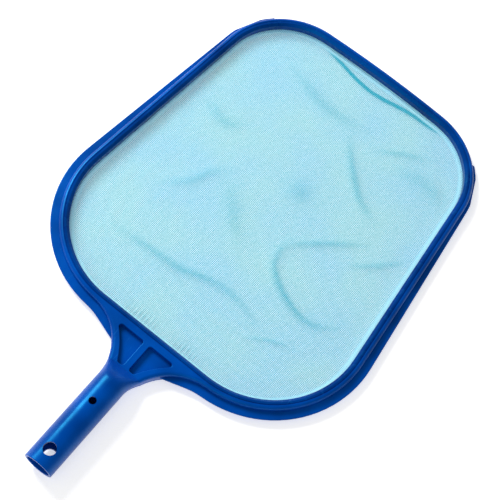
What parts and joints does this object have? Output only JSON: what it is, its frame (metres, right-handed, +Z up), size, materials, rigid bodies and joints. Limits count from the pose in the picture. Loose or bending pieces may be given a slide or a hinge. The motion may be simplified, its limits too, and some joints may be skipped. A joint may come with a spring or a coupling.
{
  "type": "leaf skimmer net",
  "caption": "Flat leaf skimmer net: moulded blue rim with side flange, forked neck and pole shank, a snap-in ring, and a fine slack mesh clamped by its hem cord.",
  "frame": {"origin": "centre of the bounding box's bottom, on the plane that the rim and the shank lie on", "axes": "+Z up, out of the net's open side; +Y along the length, from the shank's mouth to the far edge; X across"},
  "size_m": [0.3288, 0.5094, 0.028],
  "materials": {
    "frame_plastic": "smooth moulded, satin gloss",
    "ring_plastic": "smooth moulded, satin gloss",
    "net_fabric": "fine knitted mesh",
    "cord_fibre": "round braided cord"
  },
  "bodies": {
    "root": {"skimmer_frame": "frame_plastic", "retaining_ring": "ring_plastic", "net_mesh": "net_fabric", "hem_cord": "cord_fibre"}
  },
  "joints": []
}
